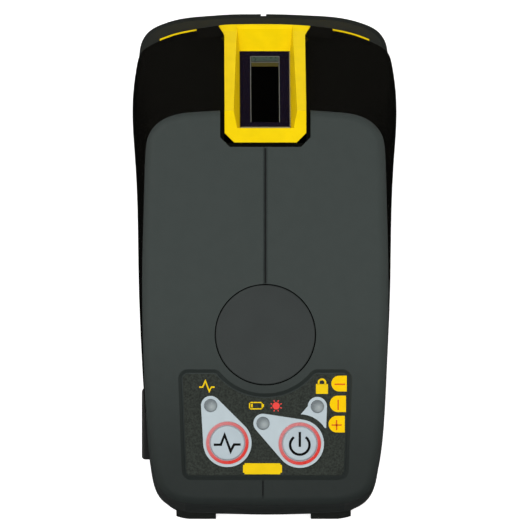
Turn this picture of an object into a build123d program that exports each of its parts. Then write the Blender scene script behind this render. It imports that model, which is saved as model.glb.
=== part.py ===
from build123d import *
import os
from math import asin, atan2, cos, degrees, hypot, pi, radians, sin

# Cross-line laser level, standing on its base, in millimetres.
# +Y is the front, where the beams leave the window; +X is the right side; +Z is up.
# The origin is the centre of the footprint, on the surface that the level stands on.

# ---------------------------------------------------------------- driving dimensions
half_length = 64.8          # origin to the front lip, and to the rear feet
half_width = 33.4           # origin to the widest point of either side
top_z = 80.0                # height of the plateau
split_z = 48.0              # parting line between lower and upper housing
edge_drop = 2.8             # the rubber on top ends this far below the plateau
floor_z = 0.8               # underside of the lower housing
floor_thick = 2.2
wall = 2.2                  # wall of both housings
skin = 1.8                  # rubber skin on top and over the rear end
skin_round = 2.4            # rounded edge of the plateau
gasket_width = 0.8
seam = 0.8                  # gap between the housings, filled by the gasket
gap = 0.3                   # clearance between pieces that move past each other
fit = 0.1                   # clearance between pieces that are assembled once
pin_fit = 0.05              # radial clearance of a pin in its hole

# base bumper
bumper_top = 14.0
bumper_thick = 2.4
lip_bevel = 1.0
lip_reach = 3.95            # how far the front lip stands out from the front panel
notch_width = 1.4
notch_depth = 0.5
foot_lobe_reach = 1.1       # how far the two rear feet stand out from the rear face
foot_lobe_inner = 12.2      # the feet run from here ...
foot_lobe_outer = 22.4      # ... to here, each side

# nose frame and window
panel_bottom = 17.0
panel_thick = 1.6
panel_half = 26.5
panel_step = 0.45           # the panel stands this far out from under the cheeks
nose_half = 10.2
nose_rear = 31.0
nose_proud = 0.7            # the nose frame stands this far above the plateau
nose_knee = 39.0            # the rim runs level from the rear to here, then slopes down
nose_foot_rise = 3.5        # foot of the sloping rim, above the parting line
nose_corner = 2.4
ear_reach = 1.3             # the foot of the nose frame flares out by this much, each side
ear_length = 2.8
brow_half = 17.2            # the cheeks come forward over the panel's edge from the flare to here
brow_height = 3.0
nose_border = 1.1           # width of the dark border between nose frame and rubber
glass_half = 6.35
glass_rear_y = 34.6
glass_drop = 3.4            # top edge of the glass, below the plateau
glass_front_y = 54.4
sill_rise = 2.7             # bottom edge of the glass, above the foot of the rim
glass_thick = 1.4
glass_ledge = 0.8           # how far the glass runs under the frame
mouth_half = 7.8            # half width of the sloped mouth at the rim
mouth_depth = 5.4
sill_drop = 0.5
seal_thick = 0.6
baffle_half = 3.55
baffle_thick = 2.0
baffle_end = 1.6

# rubber top: groove, plug and keypad recess
groove_width = 1.1
groove_depth = 0.6
rear_line_x = -0.6
rear_line_width = 0.5
plug_y = -17.05
plug_radius = 12.45
plug_gap = 0.25
plug_peg_radius = 3.0
plug_peg_length = 5.0
recess_depth = 1.0
recess_rim = 1.2
overlay_thick = 0.5
overlay_left = -20.7
overlay_right = 20.6
overlay_front = -26.9
overlay_rear = -52.2
overlay_taper = 1.05
overlay_arc = 15.9          # radius of that swing, about the plug
overlay_corner = 1.2

# keys and indicators
pulse_key = (-9.5, -44.1)
power_key = (8.6, -44.3)
pulse_led = (-13.7, -34.75)
power_led = (-0.6, -39.2)
lock_led = (13.0, -35.0)
key_radius = 4.3
key_travel = 0.4
key_proud = 0.4
key_thick = 1.5
stem_radius = 1.6
stem_hole = 2.1
ring_inner = 4.5
ring_outer = 5.35
ring_proud = 0.1
surround_radius = 6.05
surround_tip = 2.4
surround_thick = 0.5
lens_radius = 1.65
lens_stem = 0.9
lens_height = 0.45
lock_island_reach = 5.4
lock_island_gap = 1.3
led_height = 0.8
stem_drop = 4.4             # lower end of the key stems, below the plateau

# keypad board
keypad_board_drop = 6.4     # top of the board, below the plateau
keypad_board_thick = 1.6
keypad_half = 18.0
keypad_front = -31.0
keypad_rear = -52.0
switch_size = 6.0
switch_height = 1.6
plunger_radius = 1.5
keypad_screws = [(-15.5, -49.5), (15.5, -49.5), (5.6, -33.6)]
screw_shank = 0.9
screw_head = 1.9
screw_head_height = 1.4

# battery bay, three AA cells side by side
cell_radius = 7.15
cell_length = 50.5
cell_nub_radius = 2.7
cell_nub_length = 1.2
cell_pitch = 15.0
cell_z = 11.2
bay_half = 22.7
bay_rear = -52.5
bay_front = 2.5
bay_roof = 19.6
bay_wall = 1.5
spring_room = 2.4
spring_wire = 0.6
spring_radius = 3.0
contact_thick = 0.4

# battery door
door_thick = 1.8
door_ledge = 1.2            # how far the door laps the edge of the bay on the sides
hinge_y = 4.1
hinge_z = 1.6
hinge_pin_radius = 0.7
lug_inner = 17.0
lug_outer = 21.0
knuckle_inner = 8.0
grip_half = 8.0
knuckle_radius = 1.2

# main board
main_board_z = 24.0
board_thick = 1.6
main_board_left = -21.5
main_board_right = 24.0
main_board_rear = -52.0
main_board_front = -2.0
board_chips = [(0.0, -20.0, 8.0), (-11.0, -22.0, 4.0), (11.0, -22.0, 4.0), (11.0, -13.0, 4.0)]
chip_height = 1.4
capacitors = [(-8.0, -9.0), (-2.0, -9.0), (4.0, -9.0)]
capacitor_radius = 2.5
capacitor_height = 7.0
lock_switch_at = (-17.6, -33.6)
lock_switch_height = 6.5
ribbon_width = 12.0
ribbon_thick = 0.3
ribbon_y = -42.0
socket_height = 2.0

# pendulum and gimbal
pivot_y = 17.0
pivot_z = 54.0
bracket_half = 26.0
bracket_base_z = 18.0
bracket_thick = 3.0
bracket_depth = 10.0
base_reach = 12.5
ring_half_x = 20.5
ring_half_y = 14.0
ring_bar = 3.0
ring_height = 6.0
pivot_radius = 1.2
bearing_outer = 2.2
carriage_half = 11.0
carriage_rear = 9.0
carriage_front = 25.0
carriage_bottom = 58.5
carriage_top = 69.0
hub_half = 5.0
hub_depth = 9.0
weight_half = 12.0
weight_depth = 9.0
weight_bottom = 28.0
weight_top = 44.0
laser_radius = 4.6
laser_x = 5.6
laser_z = 63.5
laser_rear = 2.0
laser_front = 28.0
rod_radius = 1.5
rod_length = 6.4
damper_thick = 1.5
damper_half = 9.0
magnet_radius = 4.0
magnet_height = 3.0
trim_radius = 1.5
trim_depth = 4.0
trim_z = 38.0

# pendulum lock: a thumb slide on the left wall
thumb_length = 18.0
thumb_y = -40.0
thumb_z = 36.0
thumb_height = 10.0
thumb_face = 31.1           # outer face of the thumb piece
thumb_thick = 2.2
thumb_pocket_end = 0.4
lock_travel = 6.0
lock_neck = 5.0
lock_bar_x = -23.6          # inner face of the sliding bar
lock_bar_thick = 2.4
lock_bar_height = 6.0
lock_neck_height = 4.0
guide_rib = 3.0
guide_ribs = (-48.0, -12.0)
lock_bar_rear = -46.0
lock_arm_y = -0.8           # front face of the cross arm, unlocked
lock_arm_end = 5.0
pad_thick = 1.0
spring_leaf = 0.3
spring_rise = 3.0
spring_rear = -47.0
spring_foot = 4.0

# fasteners
tripod_y = 12.0
tripod_bore = 2.55          # minor radius of a 1/4"-20 thread
tripod_outer = 4.8
tripod_length = 8.0
label_half = 14.0
label_rear = 24.0
label_front = 40.0
housing_screws = [(-22.5, 46.0), (22.5, 46.0), (-20.0, -56.5), (20.0, -56.5)]
boss_radius = 2.2
housing_screw_radius = 1.2
housing_screw_length = 14.0
housing_head_radius = 2.1
housing_head_height = 1.4
head_recess = 0.2           # the screw heads sit this far above the underside
column_bottom = 7.0          # the long columns of the upper housing end here
bracket_screws = [(-19.0, 9.0), (19.0, 9.0), (-19.0, 27.0), (19.0, 27.0)]
bracket_screw_length = 8.0
board_screws = [(-16.0, -48.0), (19.0, -48.0), (-16.0, -6.0), (19.0, -6.0)]
board_screw_length = 3.6

# ---------------------------------------------------------------- plan outlines
# Right half of each outline, from the centre of the front to the centre of the rear.
width_unit = half_width / 33.4
length_unit = half_length / 64.8
front_y = half_length - lip_reach
rear_y = half_length - foot_lobe_reach


def scaled(points):
    """Fit an outline drawn at the nominal size to the driving width and length."""
    return [(x * width_unit, y * length_unit) for x, y in points]


# widest level, at the parting line
waist = scaled([
    (0.0, 60.85), (13.0, 60.25), (22.0, 58.7), (28.2, 56.3), (31.3, 54.0), (32.3, 51.0),
    (33.2, 44.5), (33.4, 37.0), (32.8, 27.5), (32.2, 16.0), (31.9, -2.0), (31.2, -21.0),
    (30.0, -40.0), (28.6, -52.5), (26.6, -58.4), (22.4, -61.4), (14.0, -62.4), (0.0, -62.5),
])
# outline of the plateau, where the front slope starts
crease = scaled([
    (0.0, 39.5), (8.0, 39.3), (15.5, 38.8), (21.6, 38.2), (25.4, 36.9), (27.9, 34.9),
    (29.3, 32.6), (30.0, 28.5), (30.3, 20.0), (30.8, 0.0), (30.6, -20.0),
    (29.8, -38.0), (28.2, -51.0), (26.0, -56.4), (21.6, -59.0), (14.0, -59.8), (0.0, -59.9),
])
# the foot of the lower housing, and the outside of the bumper with its front lip
foot = scaled([
    (0.0, 60.3), (13.0, 59.7), (22.0, 58.1), (27.7, 55.6), (30.3, 53.0), (31.3, 49.5),
    (31.9, 43.5), (32.0, 36.0), (31.7, 27.0), (31.3, 16.0), (31.0, -2.0), (30.4, -21.0),
    (29.3, -40.0), (27.9, -52.5), (26.0, -58.2), (22.0, -61.4), (14.0, -62.6), (0.0, -63.0),
])
lip = scaled([
    (0.0, 64.8), (13.0, 64.4), (20.5, 63.7), (26.0, 62.2), (29.2, 60.5), (31.2, 57.8),
    (32.0, 52.5), (32.5, 44.0), (32.6, 36.0), (32.2, 27.0), (31.8, 16.0), (31.5, -2.0),
    (30.9, -21.0), (29.8, -40.0), (28.4, -52.5), (26.5, -59.0), (22.4, -62.6), (14.0, -63.5),
    (0.0, -63.7),
])


def inset_points(points, inset):
    """Move each point of a right-hand half outline inwards, square to the outline."""
    moved = []
    for index, (x, y) in enumerate(points):
        before = points[index - 1] if index else (-points[1][0], points[1][1])
        last = index == len(points) - 1
        after = (-points[-2][0], points[-2][1]) if last else points[index + 1]
        along_x = after[0] - before[0]
        along_y = after[1] - before[1]
        size = hypot(along_x, along_y)
        moved.append((x + inset * along_y / size, y - inset * along_x / size))
    return moved


def plan(points, z, inset=0.0):
    """Closed face inside an outline, at height z."""
    right = inset_points(points, inset)
    left = [(-x, y) for x, y in reversed(right)]
    forward = Spline(*right, tangents=[(1, 0), (-1, 0)])
    back = Spline(*left, tangents=[(-1, 0), (1, 0)])
    return Pos(0, 0, z) * make_face(forward + back)


def between(low_points, low_z, high_points, high_z, inset=0.0):
    """Solid between two outlines."""
    return loft([plan(low_points, low_z, inset), plan(high_points, high_z, inset)])


def block(x0, x1, y0, y1, z0, z1):
    """Box between two corners."""
    middle = Pos((x0 + x1) / 2, (y0 + y1) / 2, (z0 + z1) / 2)
    return middle * Box(abs(x1 - x0), abs(y1 - y0), abs(z1 - z0))


def post(x, y, z0, z1, radius):
    """Upright cylinder."""
    return Pos(x, y, (z0 + z1) / 2) * Cylinder(radius, z1 - z0)


def rod_x(x0, x1, y, z, radius):
    """Cylinder along X."""
    return Pos((x0 + x1) / 2, y, z) * Rot(0, 90, 0) * Cylinder(radius, x1 - x0)


def rod_y(x, y0, y1, z, radius):
    """Cylinder along Y."""
    return Pos(x, (y0 + y1) / 2, z) * Rot(90, 0, 0) * Cylinder(radius, y1 - y0)


def side_prism(profile, x0, x1):
    """Extrude a profile drawn in Y and Z along X."""
    face = make_face(Polyline(*profile, close=True))
    upright = Plane(origin=(x0, 0, 0), x_dir=(0, 1, 0), z_dir=(1, 0, 0))
    return extrude(upright * face, amount=x1 - x0)


def upright_prism(outline, z0, z1):
    """Extrude a closed polygon drawn in X and Y upwards."""
    return extrude(Pos(0, 0, z0) * make_face(Polyline(*outline, close=True)), amount=z1 - z0)


parts = {}


def keep(name, shape):
    """File the solids of one piece under its name."""
    solids = shape.solids()
    parts[name] = solids[0] if len(solids) == 1 else Compound(children=list(solids))


# ---------------------------------------------------------------- heights and window plane
edge_z = top_z - edge_drop
nose_top = top_z + nose_proud
nose_foot_z = split_z + nose_foot_rise
glass_rear_z = top_z - glass_drop
glass_front_z = nose_foot_z + sill_rise
key_top = top_z + key_proud
ring_top = top_z + ring_proud
roof_top = top_z - skin
roof_bottom = roof_top - wall
keypad_board_top = top_z - keypad_board_drop
floor_top = floor_z + floor_thick

glass_run = glass_front_y - glass_rear_y
glass_fall = glass_rear_z - glass_front_z
glass_length = hypot(glass_run, glass_fall)
glass_slope = degrees(atan2(glass_fall, glass_run))
glass_middle = ((glass_front_y + glass_rear_y) / 2, (glass_front_z + glass_rear_z) / 2)
# x runs to the right, y down the slope towards the front, z out through the glass
window = Plane(
    origin=(0, glass_middle[0], glass_middle[1]),
    x_dir=(1, 0, 0),
    z_dir=(0, sin(radians(glass_slope)), cos(radians(glass_slope))),
)


def window_block(half_x, half_y, z0, z1):
    """Box square to the window plane; z counts outwards from the face of the glass."""
    return window * (Pos(0, 0, (z0 + z1) / 2) * Box(2 * half_x, 2 * half_y, z1 - z0))

head_seat = floor_z + housing_head_height + head_recess
tripod_top = floor_z + tripod_length
thumb_rear = thumb_y - thumb_length / 2
thumb_front = thumb_y + thumb_length / 2
lock_bar_outer = lock_bar_x - lock_bar_thick
column_top = split_z + 12.0
hinge_pocket_front = hinge_y + knuckle_radius + gap + fit
stem_bottom = top_z - stem_drop
nose_root_y = front_y + panel_step - 2 * panel_thick
nose_root_z = split_z - 6.0


# ---------------------------------------------------------------- forms shared by several pieces
lower_top = split_z - seam / 2
upper_bottom = split_z + seam / 2
panel_inner = panel_thick - panel_step
lower_wall = panel_inner + wall
upper_form = between(waist, upper_bottom, crease, edge_z)
wrap_half = 20.0
wrap_bottom = split_z + 4.0
rear_lean = 2.6             # the rear face leans in by this much, from the waist to the plateau


def rear_prism(depth, half, z0):
    """Everything behind a plane that runs parallel to the leaning rear face, at a depth."""
    return side_prism([
        (depth - rear_y + 1.2, split_z), (depth - rear_y + 1.2 + rear_lean, edge_z),
        (-half_length - 5, edge_z), (-half_length - 5, split_z),
    ], -half, half) & block(-half, half, -half_length - 9, 0, z0, edge_z)


rear_wrap = upper_form & rear_prism(skin, wrap_half, wrap_bottom)


def overlay_face(grow):
    """Keypad outline: a tapered plate whose front edge swings round the plug."""
    plate = make_face(Polyline(
        (overlay_left - grow, overlay_front + grow),
        (overlay_right + grow, overlay_front + grow),
        (overlay_right - overlay_taper + grow, overlay_rear - grow),
        (overlay_left + overlay_taper - grow, overlay_rear - grow),
        close=True,
    ))
    outline = plate - Pos(0, plug_y) * Circle(overlay_arc - grow)
    return fillet(outline.vertices(), overlay_corner + max(grow, 0))


def key_holes(radius, z0, z1):
    """Holes under the two keys."""
    return [post(x, y, z0, z1, radius) for x, y in (pulse_key, power_key)]


def lens_holes(radius, z0, z1):
    """Holes under the three indicator lenses."""
    return [post(x, y, z0, z1, radius) for x, y in (pulse_led, power_led, lock_led)]


# ---------------------------------------------------------------- rubber top
def make_top_overmould():
    round_z = top_z - skin_round
    cap = extrude(plan(crease, edge_z), amount=round_z - edge_z)
    cap += loft([plan(crease, round_z + skin_round * sin(turn), skin_round * (1 - cos(turn)))
                 for turn in (0, pi / 6, pi / 3, pi / 2)])
    border = nose_half + nose_border
    nose_edge = nose_rear - nose_border
    groove_half = groove_width / 2
    line_half = rear_line_width / 2
    recess_z = top_z - recess_depth
    cuts = [
        extrude(plan(crease, edge_z - 1, skin), amount=roof_top - edge_z + 1),
        upright_prism([
            (-border, front_y), (-border, nose_edge + nose_corner), (nose_corner - border, nose_edge),
            (border - nose_corner, nose_edge), (border, nose_edge + nose_corner), (border, front_y),
        ], edge_z - 1, top_z + 1),
        block(-groove_half, groove_half, plug_y + plug_radius, nose_rear, top_z - groove_depth, top_z + 1),
        block(rear_line_x - line_half, rear_line_x + line_half, -rear_y - 1, overlay_rear - recess_rim,
              top_z - groove_depth / 2, top_z + 1),
        post(0, plug_y, edge_z, top_z + 1, plug_radius + plug_gap),
        loft([Pos(0, 0, recess_z) * overlay_face(recess_rim / 4),
              Pos(0, 0, top_z) * overlay_face(recess_rim)]),
    ]
    cuts += key_holes(ring_outer + fit, edge_z, top_z)
    cuts += lens_holes(lens_stem + fit, edge_z, top_z)
    keep("top_overmould", cap - cuts + rear_wrap)


def make_top_plug():
    disc = post(0, plug_y, roof_top, top_z - fit, plug_radius)
    disc = fillet(disc.edges().group_by(Axis.Z)[-1], 0.3)
    peg = post(0, plug_y, roof_top - plug_peg_length, roof_top, plug_peg_radius)
    keep("top_plug", disc + peg)


# ---------------------------------------------------------------- housings
def make_upper_housing():
    roof_edge = extrude(plan(crease, edge_z, skin), amount=roof_top - edge_z)
    cavity = loft([plan(waist, upper_bottom, wall), plan(crease, roof_bottom, skin + wall)])
    cavity -= rear_prism(skin + wall, wrap_half + wall, split_z)
    opening = nose_half + fit
    cuts = [cavity, rear_prism(skin, wrap_half, wrap_bottom)]
    cuts.append(block(-opening, opening, nose_rear - fit, front_y + 5, split_z - 1, top_z))
    cuts += ears(fit, split_z - 1, top_z)
    cuts.append(post(0, plug_y, roof_bottom - 1, roof_top + 1, plug_peg_radius + fit))
    cuts += key_holes(stem_hole, roof_bottom - 1, roof_top + 1)
    cuts += lens_holes(lens_stem + fit, roof_bottom - 1, roof_top + 1)
    brow = block(-brow_half, brow_half, front_y * 0.7, front_y + 5, upper_bottom, upper_bottom + brow_height)
    brow &= extrude(plan(waist, upper_bottom - 1, -panel_step), amount=brow_height + 2)
    shell = upper_form + [roof_edge, brow] - cuts
    columns = [post(x, y, column_bottom, column_top, boss_radius) for x, y in housing_screws]
    columns += [post(x, y, keypad_board_top, roof_bottom + 0.5, boss_radius) for x, y in keypad_screws]
    shell = shell + columns
    screw_top = column_bottom + housing_screw_length
    holes = [post(x, y, column_bottom - 1, screw_top, housing_screw_radius) for x, y in housing_screws]
    holes += [post(x, y, keypad_board_top - 1, roof_top - 0.8, screw_shank) for x, y in keypad_screws]
    keep("upper_housing", shell - holes)


def ears(grow, z0, z1):
    """Flares at the foot of the nose frame, one each side."""
    front = front_y + panel_step
    start = front - ear_length - grow
    prisms = []
    for side in (-1, 1):
        inside = side * (nose_half - 1)
        outside = side * (nose_half + grow)
        tip = side * (nose_half + ear_reach + grow)
        prisms.append(upright_prism([
            (inside, start), (outside, start), (tip, front - 0.6), (tip, front + 5), (inside, front + 5),
        ], z0, z1))
    return prisms


def nose_root():
    """Room for the foot of the nose frame where it crosses the parting line."""
    half = nose_half + fit
    return block(-half, half, nose_root_y - fit, front_y + 5, nose_root_z - fit, split_z + 1)


def make_housing_gasket():
    middle = wall / 2
    outer = extrude(plan(waist, lower_top, middle - gasket_width / 2), amount=seam)
    inner = extrude(plan(waist, lower_top, middle + gasket_width / 2), amount=seam)
    keep("housing_gasket", outer - inner - nose_root())


def make_lower_housing():
    step_z = bumper_top + wall
    base_form = extrude(plan(foot, floor_z, bumper_thick), amount=bumper_top - floor_z)
    cavity_low = extrude(plan(foot, floor_top, bumper_thick + wall), amount=step_z - floor_top)
    cavity_high = between(foot, step_z, waist, lower_top, lower_wall)
    pocket_edge = panel_half + fit
    pocket = block(-pocket_edge, pocket_edge, front_y * 0.7, front_y + 5, panel_bottom - fit, split_z)
    pocket -= extrude(plan(waist, bumper_top, panel_inner), amount=split_z)
    shell = base_form + between(foot, bumper_top, waist, lower_top)
    shell = shell - [cavity_low, cavity_high, pocket, nose_root()]
    solids, holes = boss_solids()
    lock_solids, lock_holes = lock_seat()
    shell = shell + (bay_walls() + solids + lock_solids)
    shell = shell - (door_seat() + holes + lock_holes)
    shell = shell + hinge_lugs() - rod_x(-lug_outer, lug_outer, hinge_y, hinge_z, hinge_pin_radius)
    keep("lower_housing", shell)


def bay_walls():
    """Walls and roof over the three cells; the open side is closed by the door."""
    side = bay_half + bay_wall
    rear = bay_rear - bay_wall
    front = bay_front + bay_wall
    roof = bay_roof + bay_wall
    return [
        block(-side, side, rear, front, bay_roof, roof),
        block(-side, -bay_half, rear, front, floor_z, roof),
        block(bay_half, side, rear, front, floor_z, roof),
        block(-side, side, rear, bay_rear, floor_z, roof),
        block(-side, side, bay_front, front, floor_z, roof),
    ]


def boss_solids():
    """Bosses for the housing screws, gimbal bracket, main board and tripod insert, and their holes."""
    solids = []
    holes = []
    for x, y in housing_screws:
        solids.append(post(x, y, floor_z, column_bottom, boss_radius))
        holes.append(post(x, y, floor_z - 1, head_seat, housing_head_radius + fit))
        holes.append(post(x, y, floor_z, column_bottom, housing_screw_radius + fit))
        holes.append(post(x, y, column_bottom, split_z, boss_radius + 2 * fit))
    for x, y in bracket_screws:
        solids.append(post(x, y, floor_z, bracket_base_z, boss_radius))
        holes.append(post(x, y, bracket_base_z - bracket_screw_length, bracket_base_z + 1, screw_shank))
    for x, y in board_screws:
        solids.append(post(x, y, bay_roof, main_board_z, boss_radius))
        holes.append(post(x, y, main_board_z - board_screw_length, main_board_z + 1, screw_shank))
    solids.append(post(0, tripod_y, floor_z, tripod_top + wall, tripod_outer + wall))
    holes.append(post(0, tripod_y, floor_z - 1, tripod_top, tripod_outer))
    return solids, holes


def door_seat():
    """Opening under the bay, the door's seat in the floor and the pocket for the hinge."""
    seat = bay_half + door_ledge + gap
    seat_top = floor_z + door_thick + gap
    return [
        block(-bay_half, bay_half, bay_rear, bay_front, floor_z - 1, bay_roof),
        block(-seat, seat, bay_rear - door_ledge - gap, hinge_y, floor_z - 1, seat_top),
        block(-seat, seat, hinge_y - 2, hinge_pocket_front, floor_z - 1, hinge_z + knuckle_radius + gap),
    ]


def hinge_lugs():
    """Two lugs that hold the ends of the hinge pin."""
    lugs = []
    for side in (-1, 1):
        x0, x1 = sorted((side * lug_inner, side * lug_outer))
        lugs.append(rod_x(x0, x1, hinge_y, hinge_z, knuckle_radius))
        lugs.append(block(x0, x1, hinge_y, hinge_pocket_front + 0.5, floor_z, hinge_z + 0.8))
    return lugs


def lock_seat():
    """Flat pocket and slot for the thumb slide, its guide ribs and the spring mount, in the left wall."""
    pocket_x = -(thumb_face - thumb_thick - gap)
    slide_end = thumb_front + lock_travel
    pocket_half = thumb_height / 2 + gap
    neck_half = lock_neck_height / 2 + gap
    channel_half = lock_bar_height / 2 + gap
    channel_x = lock_bar_outer - gap
    outside = -half_width - 1
    holes = [
        block(outside, pocket_x, thumb_rear - thumb_pocket_end, slide_end + thumb_pocket_end,
              thumb_z - pocket_half, thumb_z + pocket_half),
        block(outside, channel_x + 1, thumb_y - lock_neck / 2 - gap, thumb_y + lock_neck / 2 + lock_travel + gap,
              thumb_z - neck_half, thumb_z + neck_half),
        block(channel_x, lock_bar_x, lock_bar_rear - gap, lock_bar_rear + 30,
              thumb_z - channel_half, thumb_z + channel_half),
    ]
    rib_wall = pocket_x
    rib_top = thumb_z - channel_half
    mount_z = thumb_z + lock_bar_height / 2 + spring_rise
    solids = [block(rib_wall, lock_bar_x, y, y + guide_rib, rib_top - wall, rib_top) for y in guide_ribs]
    solids.append(block(rib_wall, lock_bar_x, spring_rear, spring_rear + spring_foot, mount_z, mount_z + wall))
    return solids, holes


# ---------------------------------------------------------------- base bumper
def bevelled_slab(inset):
    """Slab inside the lip outline, with a bevelled upper edge."""
    bevel_z = bumper_top - lip_bevel
    slab = extrude(plan(lip, 0, inset), amount=bevel_z)
    return slab + loft([plan(lip, bevel_z, inset), plan(lip, bumper_top, inset + lip_bevel)])


def make_base_bumper():
    lobe_form = bevelled_slab(-foot_lobe_reach - 0.3)
    band = bevelled_slab(0) + [
        lobe_form & block(side * foot_lobe_inner, side * foot_lobe_outer, -half_length, 6 - half_length, 0, 99)
        for side in (-1, 1)
    ]
    notch_half = notch_width / 2
    band = band - [
        extrude(plan(foot, -1, bumper_thick), amount=bumper_top + 2),
        block(-notch_half, notch_half, half_length - notch_depth, half_length + 1, -1, bumper_top + 1),
    ]
    keep("base_bumper", band)


# ---------------------------------------------------------------- nose frame and window
def make_nose_frame():
    foot_front = front_y + panel_step
    inner = -(glass_thick + seal_thick + baffle_thick + 1)
    out_y = sin(radians(glass_slope)) * inner
    out_z = cos(radians(glass_slope)) * inner
    rim_foot_y = foot_front - 1.8
    rim_foot_z = nose_foot_z + 0.9
    profile = [
        (nose_rear, nose_top), (nose_knee, nose_top), (rim_foot_y, rim_foot_z),
        (foot_front + 1, nose_foot_z - 1.8), (foot_front + 1, nose_root_z), (nose_root_y, nose_root_z),
        (nose_root_y, upper_bottom), (glass_front_y + out_y, glass_front_z + out_z),
        (nose_rear, glass_rear_z + out_z),
    ]
    body = side_prism(profile, -nose_half, nose_half)
    corners = body.edges().filter_by(Axis.Z).sort_by(Axis.Y)[:2]
    body = chamfer(corners, nose_corner)
    flared = side_prism(profile, -nose_half - ear_reach, nose_half + ear_reach)
    body += [flared & ear for ear in ears(0, upper_bottom, nose_top)]
    panel = block(-panel_half, panel_half, front_y * 0.7, front_y + 5, panel_bottom, lower_top)
    panel -= extrude(plan(waist, 0, panel_inner), amount=split_z)
    frame = (body + panel) & extrude(plan(waist, 0, -panel_step), amount=top_z + 5)
    run = glass_length / 2 + glass_ledge + fit
    frame -= window_block(glass_half + glass_ledge + fit, run, -20, 0)
    lean = degrees(atan2(mouth_half - glass_half, mouth_depth))
    mouth = window_block(glass_half, 60, -0.1, 40)
    for side in (-1, 1):
        leaf = Pos(-side * glass_half, 0, 20) * Box(2 * glass_half, 120, 40)
        mouth += window * (Pos(side * glass_half, 0, 0) * Rot(0, side * lean, 0) * leaf)
    mouth &= side_prism([
        (glass_rear_y, glass_rear_z), (glass_rear_y, top_z + 20), (front_y + 20, top_z + 20),
        (front_y + 20, nose_foot_z - sill_drop), (foot_front - 1.2, nose_foot_z - sill_drop),
        (glass_front_y, glass_front_z),
    ], -nose_half, nose_half)
    keep("nose_frame", frame - mouth)


def make_window():
    half_x = glass_half + glass_ledge
    half_y = glass_length / 2 + glass_ledge
    glass = window_block(half_x, half_y, -glass_thick, 0)
    keep("window_glass", glass)
    seal_z = -glass_thick - seal_thick
    seal = window_block(half_x, half_y, seal_z, -glass_thick)
    keep("window_seal", seal - window_block(glass_half - 0.8, glass_length / 2 - 0.8, seal_z - 1, 0))
    baffle_z = seal_z - baffle_thick
    baffle = window_block(half_x, half_y, baffle_z, seal_z)
    keep("window_baffle", baffle - window_block(baffle_half, glass_length / 2 - baffle_end, baffle_z - 1, 0))
# ---------------------------------------------------------------- keypad
def make_keypad_overlay():
    overlay = extrude(Pos(0, 0, top_z - recess_depth) * overlay_face(0), amount=overlay_thick)
    z = top_z - recess_depth
    holes = key_holes(ring_outer + fit, z - 1, top_z) + lens_holes(lens_stem + fit, z - 1, top_z)
    keep("keypad_overlay", overlay - holes)


def surround_face(centre, tip):
    """Teardrop: a large round about the key, running to a small round about its lens."""
    along = degrees(atan2(tip[1] - centre[1], tip[0] - centre[0]))
    reach = hypot(tip[0] - centre[0], tip[1] - centre[1])
    lean = degrees(asin((surround_radius - surround_tip) / reach))
    corners = []
    for side, radius, at in ((1, surround_radius, centre), (1, surround_tip, tip),
                             (-1, surround_tip, tip), (-1, surround_radius, centre)):
        angle = radians(along + side * (90 - lean))
        corners.append((at[0] + radius * cos(angle), at[1] + radius * sin(angle)))
    face = make_face(Polyline(*corners, close=True))
    face += Pos(*centre) * Circle(surround_radius)
    return face + Pos(*tip) * Circle(surround_tip)


def make_surrounds():
    z = top_z - recess_depth + overlay_thick
    for name, key, led in (("pulse_surround", pulse_key, pulse_led), ("power_surround", power_key, power_led)):
        plate = extrude(Pos(0, 0, z) * surround_face(key, led), amount=surround_thick)
        plate -= post(*key, z - 1, top_z + 1, ring_outer + fit)
        keep(name, plate - post(*led, z - 1, top_z + 1, lens_stem + fit))
    x, y = lock_led
    island = make_face(Polyline(
        (x - lock_island_reach, y - surround_tip - 1.0), (x - 0.4, y + surround_tip), (x + surround_tip, y),
        (x + surround_tip - 0.2, y - lock_island_reach), (x - 0.6, y - lock_island_reach), close=True,
    ))
    island += Pos(x, y) * Circle(surround_tip)
    island -= Pos(*power_key) * Circle(surround_radius + lock_island_gap)
    plate = extrude(Pos(0, 0, z) * island, amount=surround_thick)
    keep("lock_surround", plate - post(x, y, z - 1, top_z + 1, lens_stem + fit))


def make_keys():
    cap_bottom = key_top - key_thick
    plunger_bottom = keypad_board_top + key_travel + 0.2
    switches = []
    for name, (x, y) in (("pulse", pulse_key), ("power", power_key)):
        cap = post(x, y, cap_bottom, key_top, key_radius)
        cap = fillet(cap.edges().group_by(Axis.Z)[-1], 0.4)
        keep(name + "_button", cap + post(x, y, stem_bottom, cap_bottom, stem_radius))
        ring = post(x, y, roof_top, ring_top, ring_outer) - post(x, y, roof_top - 1, ring_top + 1, ring_inner)
        keep(name + "_ring", fillet(ring.edges().group_by(Axis.Z)[-1], 0.15))
        foot = block(x - switch_size / 2, x + switch_size / 2, y - switch_size / 2, y + switch_size / 2,
                     keypad_board_top, keypad_board_top + switch_height)
        switches.append(foot - post(x, y, keypad_board_top, top_z, plunger_radius + fit))
        keep(name + "_plunger", post(x, y, plunger_bottom, stem_bottom, plunger_radius))
    keep("key_switches", Compound(children=switches))


def make_lenses():
    lenses = []
    for x, y in (pulse_led, power_led, lock_led):
        dome = post(x, y, top_z, top_z + lens_height, lens_radius)
        dome = fillet(dome.edges().group_by(Axis.Z)[-1], lens_height * 0.8)
        lenses.append(dome + post(x, y, keypad_board_top + led_height + gap, top_z, lens_stem))
    keep("led_lenses", Compound(children=lenses))


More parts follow.
